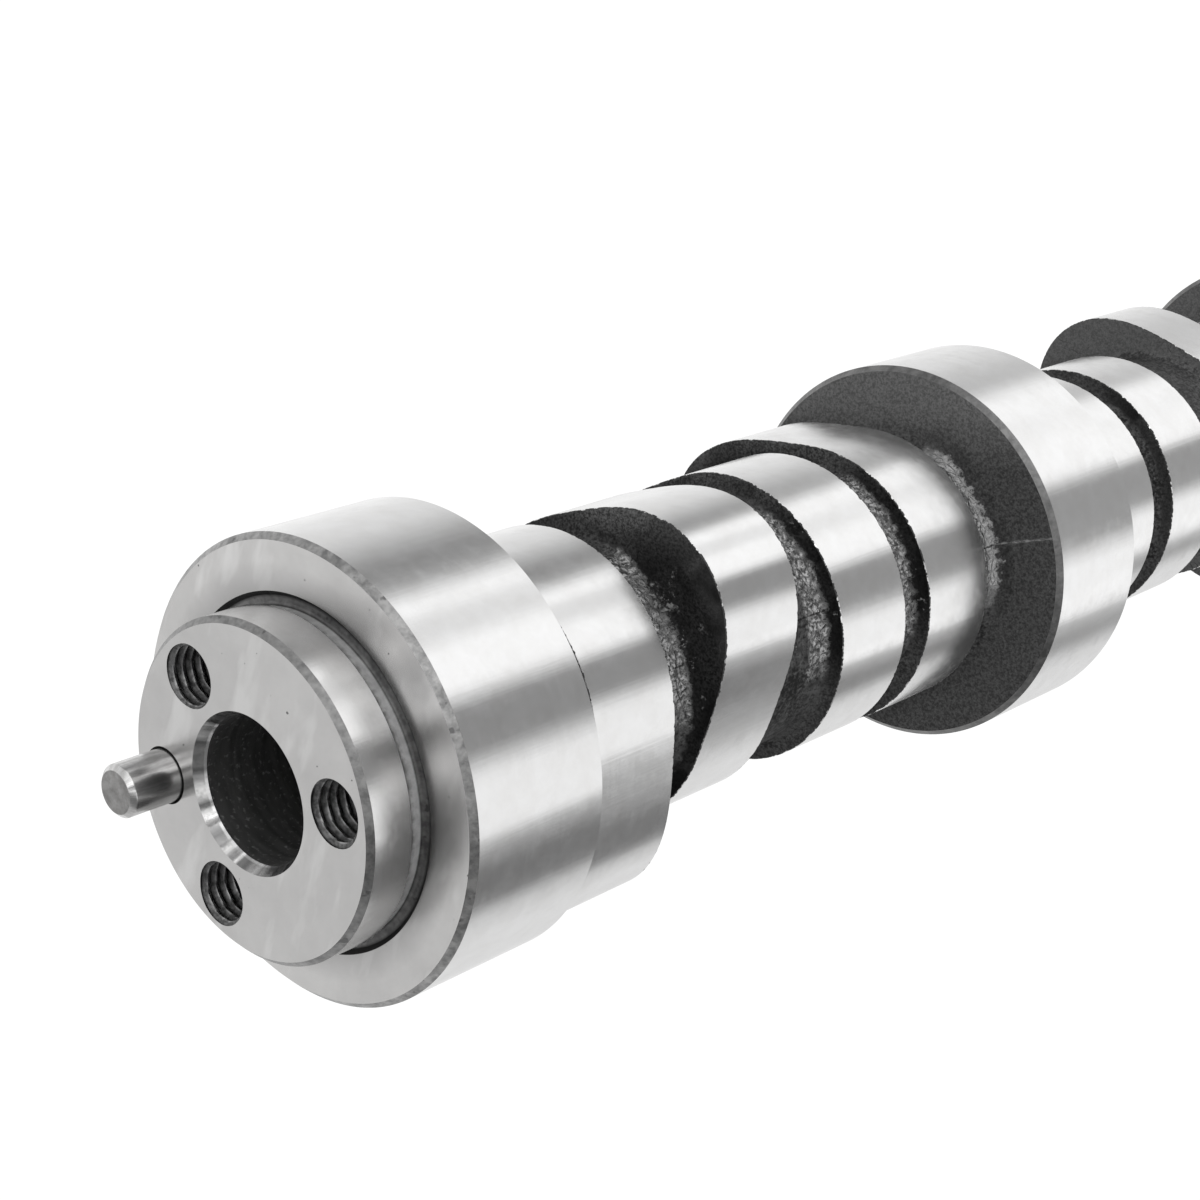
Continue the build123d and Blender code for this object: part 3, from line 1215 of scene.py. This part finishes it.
# %% [markdown]
# ## Paper sweep for the reflections
#
# Bright metal is a picture of the room. Under an even white sky it would look like plastic,
# so a photographer sets grey paper round it. Here one round sweep of paper surrounds the
# shaft, seen only in reflections. It lies on the floor, rises in a wall and closes in a dome.
# Strips of grey are painted on it by direction, and each becomes a dark streak along every
# journal and lobe. One brighter window gives the highlight.

# %% Sweep
Strip = namedtuple("Strip", "near far high fades")  # start, stop and depth, by degrees
near_r, far_r = 0.26, 0.46  # on the floor a strip changes from near to far here
low_z, high_z = 0.5, 1.1  # and from far to high here, on the wall and the dome
paper_z = 0.002
paper_hole_r = 0.031  # the shaft stands in it
strips = (
    Strip((0, 30, 0.40), (0, 30, 0.45), (0, 30, 0.0), (10, 10)),
    Strip((30, 100, 0.24), (30, 100, 0.27), (28, 108, 0.42), (20, 14)),
    Strip((84, 124, 0.50), (84, 142, 0.64), (88, 173, 0.66), (24, 16)),
    Strip((95, 124, 0.40), (100, 144, 0.54), (96, 150, 0.40), (8, 4)),
    Strip((138, 160, 0.06), (142, 174, 0.13), (142, 174, 0.0), (3, 6)),
    Strip((154, 211, 0.68), (169, 213, 0.75), (178, 210, 0.78), (15, 10)),
    Strip((231, 254, 0.03), (231, 254, 0.26), (234, 250, 0.05), (8, 6)),
    Strip((270, 318, 0.30), (258, 314, 0.66), (262, 318, 0.30), (12, 30)),
    Strip((270, 360, 0.22), (270, 360, 0.28), (262, 362, 0.20), (10, 40)),
)
window = Strip((200, 240, 0.0), (200, 240, 0.0), (204, 238, 0.55), (8, 8))
sweep_mesh = bmesh.new()
sweep_points = [(paper_hole_r, paper_z), (1.1, paper_z), (1.35, 0.12)]
sweep_points += [(1.45, 0.4), (1.45, 1.6), (1.25, 2.1), (0.75, 2.5), (0.0, 2.65)]
spin_profile(sweep_mesh, sweep_points, (0.0, 0.0), wedges=12, wedge_steps=8)
sweep = make_object(sweep_mesh, "paper_sweep")

# %% Strips on the sweep
sweep_finish = Finish("paper_strips")
_, angle, radius, z = round_the_axis(sweep_finish)
direction = (angle * (180 / pi) + 360.0).maths("MODULO", 360.0)
far = radius.between(near_r, far_r)
high = z.between(low_z, high_z)


def paint(strip):
    """How strongly a strip covers a point of the paper."""
    floor_part = [far * (b - a) + a for a, b in zip(strip.near, strip.far)]
    start, stop, depth = (high * (c - low) + low for c, low in zip(strip.high, floor_part))
    rising = ((direction - start) * (1 / strip.fades[0])).maths("ADD", 0.0, clamp=True)
    falling = ((stop - direction) * (1 / strip.fades[1])).maths("ADD", 0.0, clamp=True)
    return rising * falling * depth


bright = 1 + paint(window)
for strip in strips:
    bright = bright * (1 - paint(strip))
paper = sweep_finish.node("ShaderNodeEmission", {}, {"Color": bright, "Strength": 1.0})
sweep_finish.end_in(paper)
sweep.data.materials.append(sweep_finish.material)
sweep.visible_camera = False
sweep.visible_diffuse = False
sweep.visible_shadow = False
for glowing in (floor_finish.material, sweep_finish.material):
    glowing.cycles.emission_sampling = "NONE"  # they are found by reflections alone

# %% [markdown]
# ## Light
#
# The sky is white to the camera and in the metal, and lights matte surfaces weakly and
# evenly. That alone looks flat, so one large soft lamp beside the camera gives relief and a
# shadow. It stays out of the reflections, which have their own paper.

# %% Sky and lamp
sky = Finish("studio", kind="worlds")
lit_by_sky = sky.node("ShaderNodeLightPath", output="Is Diffuse Ray")
sky_tone = sky.mix(lit_by_sky, grey(1.0), grey(0.48))
sky_light = sky.node("ShaderNodeBackground", {}, {"Color": sky_tone, "Strength": 1.0})
sky.end_in(sky_light, "ShaderNodeOutputWorld")
bpy.context.scene.world = sky.material

lamp_data = bpy.data.lights.new("soft_lamp", "AREA")
lamp_data.shape = "DISK"
lamp_data.size = 0.5
lamp_data.energy = 9.0
lamp = add_object("soft_lamp", lamp_data)
lamp_aim = Vector((0, 0, 0.4))
lamp_azimuth = radians(205)
lamp_elevation = radians(38)
lamp_distance = 1.1
lamp_way = Vector((
    cos(lamp_azimuth) * cos(lamp_elevation),
    sin(lamp_azimuth) * cos(lamp_elevation),
    sin(lamp_elevation),
))
lamp.location = lamp_aim + lamp_way * lamp_distance
lamp.rotation_euler = lamp_way.to_track_quat("Z", "Y").to_euler()
lamp.visible_glossy = False

# %% Finish
bpy.context.scene.view_settings.view_transform = "Standard"
